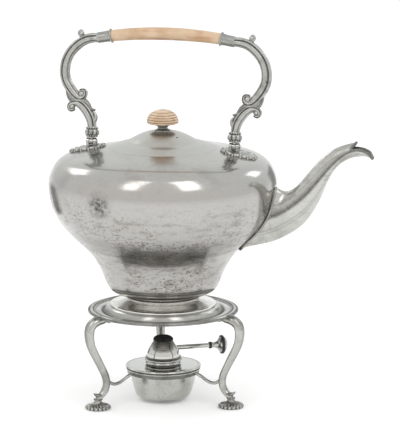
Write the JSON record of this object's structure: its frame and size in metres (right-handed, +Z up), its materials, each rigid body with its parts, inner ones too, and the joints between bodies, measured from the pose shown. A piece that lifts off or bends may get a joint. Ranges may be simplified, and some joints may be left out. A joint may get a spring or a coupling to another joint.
{
  "type": "tea kettle on lampstand",
  "caption": "Pear-shaped tea kettle with swan-neck spout, lift-off lid and swing handle, on a three-legged stand that holds a spirit burner.",
  "frame": {"origin": "on the table under the middle of the whole outline, half-way between the back of the body and the lip of the spout", "axes": "+Z up, +X towards the spout, +Y to the back, away from the side that the picture shows"},
  "size_m": [0.3083, 0.216, 0.3555],
  "materials": {
    "silver": "worn polished silver plate with grey tarnish and fine scratches",
    "burner_silver": "polished silver plate, duller on the bowl",
    "pale_wood": "turned, satin, pale tan with fine lengthwise grain",
    "ebony": "dull black",
    "charred_wick": "burnt cotton",
    "brass": "dull turned brass"
  },
  "bodies": {
    "stand": {"stand_ring": "silver", "rim_border": "silver", "leg_1": "silver", "leg_2": "silver", "leg_3": "silver", "foot_1": "silver", "foot_2": "silver", "foot_3": "silver", "burner_ring": "burner_silver", "ring_arm_1": "burner_silver", "ring_arm_2": "burner_silver", "ring_arm_3": "burner_silver"},
    "burner": {"burner_bowl": "burner_silver", "burner_top_plate": "burner_silver", "burner_collar": "burner_silver"},
    "burner_head": {"burner_cone": "burner_silver", "head_collar": "burner_silver", "wick_tube": "brass", "spindle_bush": "brass"},
    "regulator": {"regulator_rod": "burner_silver", "star_wheel": "brass", "insulating_washer": "ebony", "knob_neck": "burner_silver", "knob_disc": "ebony", "knob_cap": "burner_silver"},
    "wick": {"wick": "charred_wick"},
    "kettle": {"kettle_body": "silver", "kettle_bottom": "silver", "kettle_foot": "silver", "spout": "silver", "spout_moulding": "silver", "hinge_plate_front": "silver", "hinge_plate_rear": "silver", "hinge_pin_front": "silver", "hinge_pin_rear": "silver"},
    "lid": {"lid_cover": "silver", "lid_bezel": "silver", "knob_collar": "silver", "lid_knob": "pale_wood", "lid_stud": "brass", "lid_nut": "brass"},
    "handle": {"handle_arm_front": "silver", "handle_arm_rear": "silver", "socket_front": "silver", "socket_rear": "silver", "ferrule_front": "silver", "ferrule_rear": "silver", "rivet_front": "silver", "rivet_rear": "silver", "grip": "pale_wood"}
  },
  "joints": [
    {"name": "kettle_lift", "type": "slide", "parent": "stand", "child": "kettle", "axis": [0, 0, 1], "range_m": [0, 0.03]},
    {"name": "lid_lift", "type": "slide", "parent": "kettle", "child": "lid", "axis": [0, 0, 1], "range_m": [0, 0.045]},
    {"name": "handle_swing", "type": "hinge", "parent": "kettle", "child": "handle", "pos_m": [-0.0459, 0, 0.247], "axis": [1, 0, 0], "range_deg": [-46.5, 63.5]},
    {"name": "burner_lift", "type": "slide", "parent": "stand", "child": "burner", "axis": [0, 0, 1], "range_m": [0, 0.015]},
    {"name": "head_turn", "type": "hinge", "parent": "burner", "child": "burner_head", "pos_m": [-0.0459, 0, 0.0384], "axis": [0, 0, 1], "range_deg": [-25, 55]},
    {"name": "regulator_turn", "type": "hinge", "parent": "burner_head", "child": "regulator", "pos_m": [-0.04978, 0.007, 0.0475], "axis": [-0.8746, -0.4848, 0], "range_deg": [-65, 50]},
    {"name": "wick_rise", "type": "slide", "parent": "burner_head", "child": "wick", "axis": [0, 0, 1], "range_m": [-0.0036, 0.0028]}
  ],
  "couplings": [
    {"joint": "wick_rise", "follows": "regulator_turn", "m_per_rad": 0.003}
  ]
}
